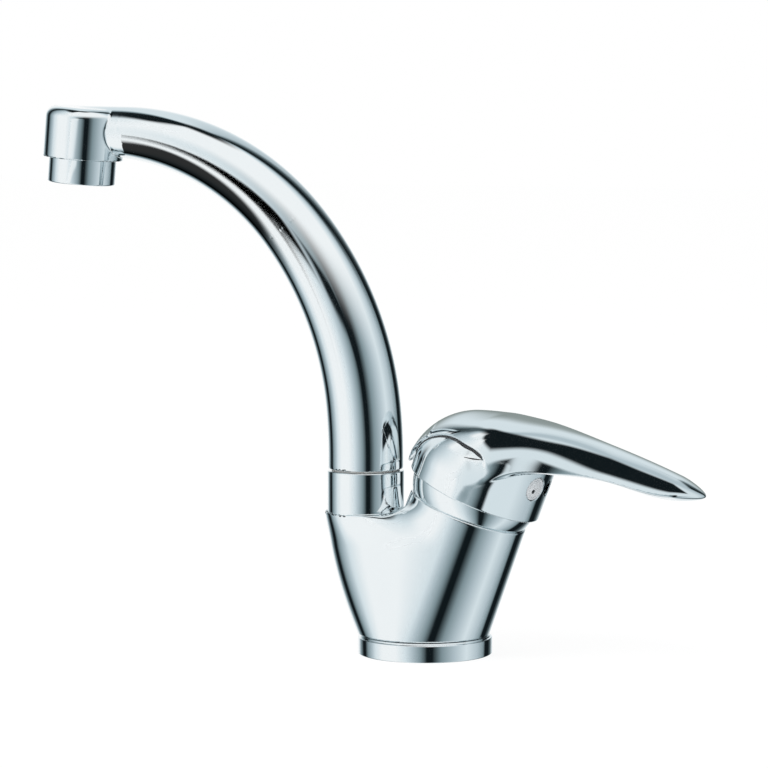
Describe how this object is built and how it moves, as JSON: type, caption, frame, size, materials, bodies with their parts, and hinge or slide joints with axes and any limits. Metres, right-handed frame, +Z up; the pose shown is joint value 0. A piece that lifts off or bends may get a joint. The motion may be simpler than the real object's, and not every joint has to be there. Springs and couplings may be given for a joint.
{
  "type": "gooseneck faucet",
  "caption": "Chrome single-lever deck faucet with a swivelling gooseneck spout and a tilted mixing cartridge that meters hot and cold water.",
  "frame": {"origin": "on the deck plane, on the axis of the round base", "axes": "+Z up from the deck, +X from the spout toward the lever, the outlet hangs toward -X"},
  "size_m": [0.2576, 0.0508, 0.2023],
  "materials": {
    "chrome": "polished",
    "rubber": "matte",
    "brass": "machined",
    "white_plastic": "moulded",
    "grey_plastic": "moulded",
    "ceramic": "lapped",
    "steel": "plain"
  },
  "bodies": {
    "base": {"body": "chrome", "base_ring": "chrome", "base_gasket": "rubber", "spout_collar": "chrome", "cartridge_nut": "brass", "trim_ring": "chrome", "cartridge_housing": "white_plastic", "cartridge_base": "white_plastic", "hot_port_seal": "rubber", "cold_port_seal": "rubber", "mixed_port_seal": "rubber", "fixed_ceramic_disc": "ceramic"},
    "spout": {"spout": "chrome", "slip_washer": "white_plastic", "spout_tail": "brass", "upper_o_ring": "rubber", "lower_o_ring": "rubber", "retaining_clip": "steel", "aerator_collar": "chrome", "aerator_insert": "white_plastic", "aerator_screen": "steel", "aerator_washer": "rubber"},
    "turret": {"turret": "grey_plastic", "turret_o_ring": "rubber", "stem_pin": "steel"},
    "lever": {"handle": "chrome", "stem": "brass", "set_screw": "steel", "index_button": "grey_plastic"},
    "disc": {"moving_ceramic_disc": "ceramic", "disc_carrier": "grey_plastic"}
  },
  "joints": [
    {"name": "spout_swivel", "type": "hinge", "parent": "base", "child": "spout", "pos_m": [-0.0232, 0, 0.06], "axis": [0, 0, 1], "continuous": true},
    {"name": "lever_turn", "type": "hinge", "parent": "base", "child": "turret", "pos_m": [0.0169, 0, 0.0544], "axis": [0.3453, 0, 0.9385], "range_deg": [-45, 45]},
    {"name": "lever_lift", "type": "hinge", "parent": "turret", "child": "lever", "pos_m": [0.02035, 0, 0.06378], "axis": [0, -1, 0], "range_deg": [0, 20]},
    {"name": "disc_slide", "type": "slide", "parent": "turret", "child": "disc", "axis": [0.9385, 0, -0.3453], "range_m": [0, 0.0051]}
  ],
  "couplings": [
    {"joint": "disc_slide", "follows": "lever_lift", "m_per_rad": 0.01425}
  ]
}
